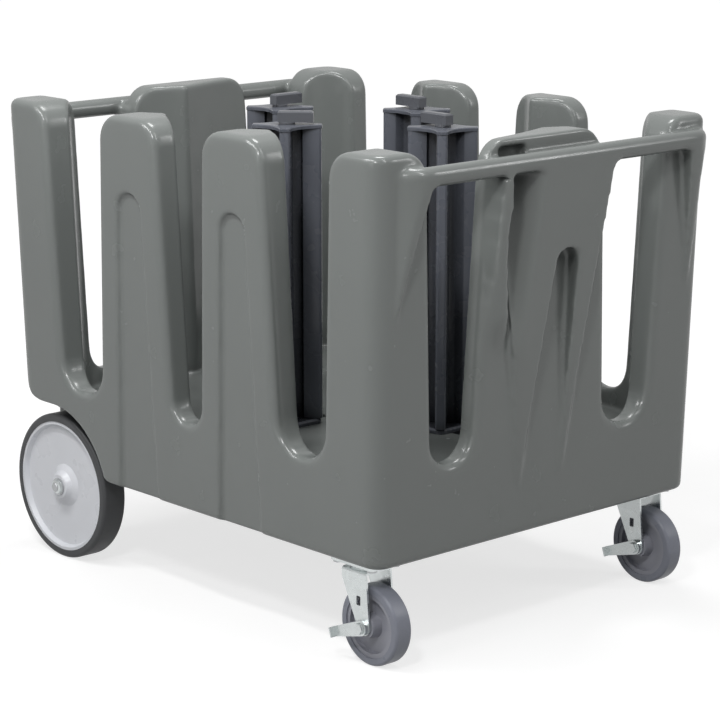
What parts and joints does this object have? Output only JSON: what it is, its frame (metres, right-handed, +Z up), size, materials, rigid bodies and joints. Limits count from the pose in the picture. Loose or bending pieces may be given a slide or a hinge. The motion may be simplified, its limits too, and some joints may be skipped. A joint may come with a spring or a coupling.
{
  "type": "plate dispenser cart",
  "caption": "Moulded grey dish cart with open-topped wells, slotted walls, adjustable dividing towers, end handles, large rear wheels and braked swivel casters.",
  "frame": {"origin": "middle of the footprint, on the floor", "axes": "+X along the length towards the swivel-caster end, +Y to the left side, +Z up"},
  "size_m": [0.9899, 0.736, 0.7974],
  "materials": {
    "body_plastic": "rotomoulded polyethylene, semi-gloss granite grey",
    "tower_plastic": "moulded, satin slate grey",
    "key_plastic": "moulded, satin dark grey",
    "tyre_rubber": "grey non-marking rubber",
    "disc_plastic": "light grey moulded nylon",
    "tread_rubber": "blue-grey elastomer",
    "core_plastic": "moulded polypropylene",
    "zinc_steel": "bright zinc plate",
    "steel": "bare bright steel",
    "bushing_plastic": "acetal"
  },
  "bodies": {
    "chassis": {"body_moulding": "body_plastic", "rear_axle": "steel", "axle_washers": "zinc_steel", "axle_push_nuts": "steel", "axle_brackets": "zinc_steel", "bracket_screws": "zinc_steel", "caster_plate_bolts": "zinc_steel", "caster_plate_left": "zinc_steel", "caster_kingpin_left": "zinc_steel", "caster_plate_right": "zinc_steel", "caster_kingpin_right": "zinc_steel"},
    "rear_wheel_left": {"rear_disc_left": "disc_plastic", "rear_tyre_left": "tyre_rubber", "rear_bushing_left": "bushing_plastic"},
    "caster_left": {"caster_fork_left": "zinc_steel", "caster_race_left": "zinc_steel", "caster_bolt_left": "zinc_steel", "caster_nut_left": "zinc_steel"},
    "caster_wheel_left": {"caster_core_left": "core_plastic", "caster_tread_left": "tread_rubber"},
    "brake_left": {"caster_brake_lever_left": "zinc_steel", "caster_brake_cam_left": "zinc_steel"},
    "rear_wheel_right": {"rear_disc_right": "disc_plastic", "rear_tyre_right": "tyre_rubber", "rear_bushing_right": "bushing_plastic"},
    "caster_right": {"caster_fork_right": "zinc_steel", "caster_race_right": "zinc_steel", "caster_bolt_right": "zinc_steel", "caster_nut_right": "zinc_steel"},
    "caster_wheel_right": {"caster_core_right": "core_plastic", "caster_tread_right": "tread_rubber"},
    "brake_right": {"caster_brake_lever_right": "zinc_steel", "caster_brake_cam_right": "zinc_steel"},
    "tower_near": {"tower_column_near": "tower_plastic", "tower_cap_near": "tower_plastic", "tower_foot_near": "tower_plastic"},
    "tower_key_near": {"tower_key_near": "key_plastic", "tower_rod_near": "steel", "tower_cam_near": "key_plastic"},
    "tower_far": {"tower_column_far": "tower_plastic", "tower_cap_far": "tower_plastic", "tower_foot_far": "tower_plastic"},
    "tower_key_far": {"tower_key_far": "key_plastic", "tower_rod_far": "steel", "tower_cam_far": "key_plastic"},
    "tower_rear": {"tower_column_rear": "tower_plastic", "tower_cap_rear": "tower_plastic", "tower_foot_rear": "tower_plastic"},
    "tower_key_rear": {"tower_key_rear": "key_plastic", "tower_rod_rear": "steel", "tower_cam_rear": "key_plastic"},
    "tower_front": {"tower_column_front": "tower_plastic", "tower_cap_front": "tower_plastic", "tower_foot_front": "tower_plastic"},
    "tower_key_front": {"tower_key_front": "key_plastic", "tower_rod_front": "steel", "tower_cam_front": "key_plastic"}
  },
  "joints": [
    {"name": "rear_wheel_left_spin", "type": "hinge", "parent": "chassis", "child": "rear_wheel_left", "pos_m": [-0.368, 0.32, 0.127], "axis": [0, 1, 0], "continuous": true},
    {"name": "caster_left_swivel", "type": "hinge", "parent": "chassis", "child": "caster_left", "pos_m": [0.382, 0.31, 0.15], "axis": [0, 0, 1], "continuous": true},
    {"name": "caster_wheel_left_spin", "type": "hinge", "parent": "caster_left", "child": "caster_wheel_left", "pos_m": [0.404, 0.31, 0.0635], "axis": [0, 1, 0], "continuous": true},
    {"name": "brake_left_press", "type": "hinge", "parent": "caster_left", "child": "brake_left", "pos_m": [0.404, 0.31, 0.0635], "axis": [0, -1, 0], "range_deg": [0, 25]},
    {"name": "rear_wheel_right_spin", "type": "hinge", "parent": "chassis", "child": "rear_wheel_right", "pos_m": [-0.368, -0.32, 0.127], "axis": [0, 1, 0], "continuous": true},
    {"name": "caster_right_swivel", "type": "hinge", "parent": "chassis", "child": "caster_right", "pos_m": [0.382, -0.31, 0.15], "axis": [0, 0, 1], "continuous": true},
    {"name": "caster_wheel_right_spin", "type": "hinge", "parent": "caster_right", "child": "caster_wheel_right", "pos_m": [0.404, -0.31, 0.0635], "axis": [0, 1, 0], "continuous": true},
    {"name": "brake_right_press", "type": "hinge", "parent": "caster_right", "child": "brake_right", "pos_m": [0.404, -0.31, 0.0635], "axis": [0, -1, 0], "range_deg": [0, 25]},
    {"name": "tower_near_slide", "type": "slide", "parent": "chassis", "child": "tower_near", "axis": [0, 1, 0], "range_m": [-0.048, 0.032]},
    {"name": "tower_near_lock", "type": "hinge", "parent": "tower_near", "child": "tower_key_near", "pos_m": [0.003, -0.139, 0.78], "axis": [0, 0, 1], "range_deg": [0, 90]},
    {"name": "tower_far_slide", "type": "slide", "parent": "chassis", "child": "tower_far", "axis": [0, 1, 0], "range_m": [-0.032, 0.048]},
    {"name": "tower_far_lock", "type": "hinge", "parent": "tower_far", "child": "tower_key_far", "pos_m": [0.006, 0.148, 0.78], "axis": [0, 0, 1], "range_deg": [0, 90]},
    {"name": "tower_rear_slide", "type": "slide", "parent": "chassis", "child": "tower_rear", "axis": [1, 0, 0], "range_m": [-0.09, 0.047]},
    {"name": "tower_rear_lock", "type": "hinge", "parent": "tower_rear", "child": "tower_key_rear", "pos_m": [-0.175, -0.002, 0.78], "axis": [0, 0, 1], "range_deg": [0, 90]},
    {"name": "tower_front_slide", "type": "slide", "parent": "chassis", "child": "tower_front", "axis": [1, 0, 0], "range_m": [-0.06, 0.075]},
    {"name": "tower_front_lock", "type": "hinge", "parent": "tower_front", "child": "tower_key_front", "pos_m": [0.196, 0.026, 0.78], "axis": [0, 0, 1], "range_deg": [0, 90]}
  ]
}
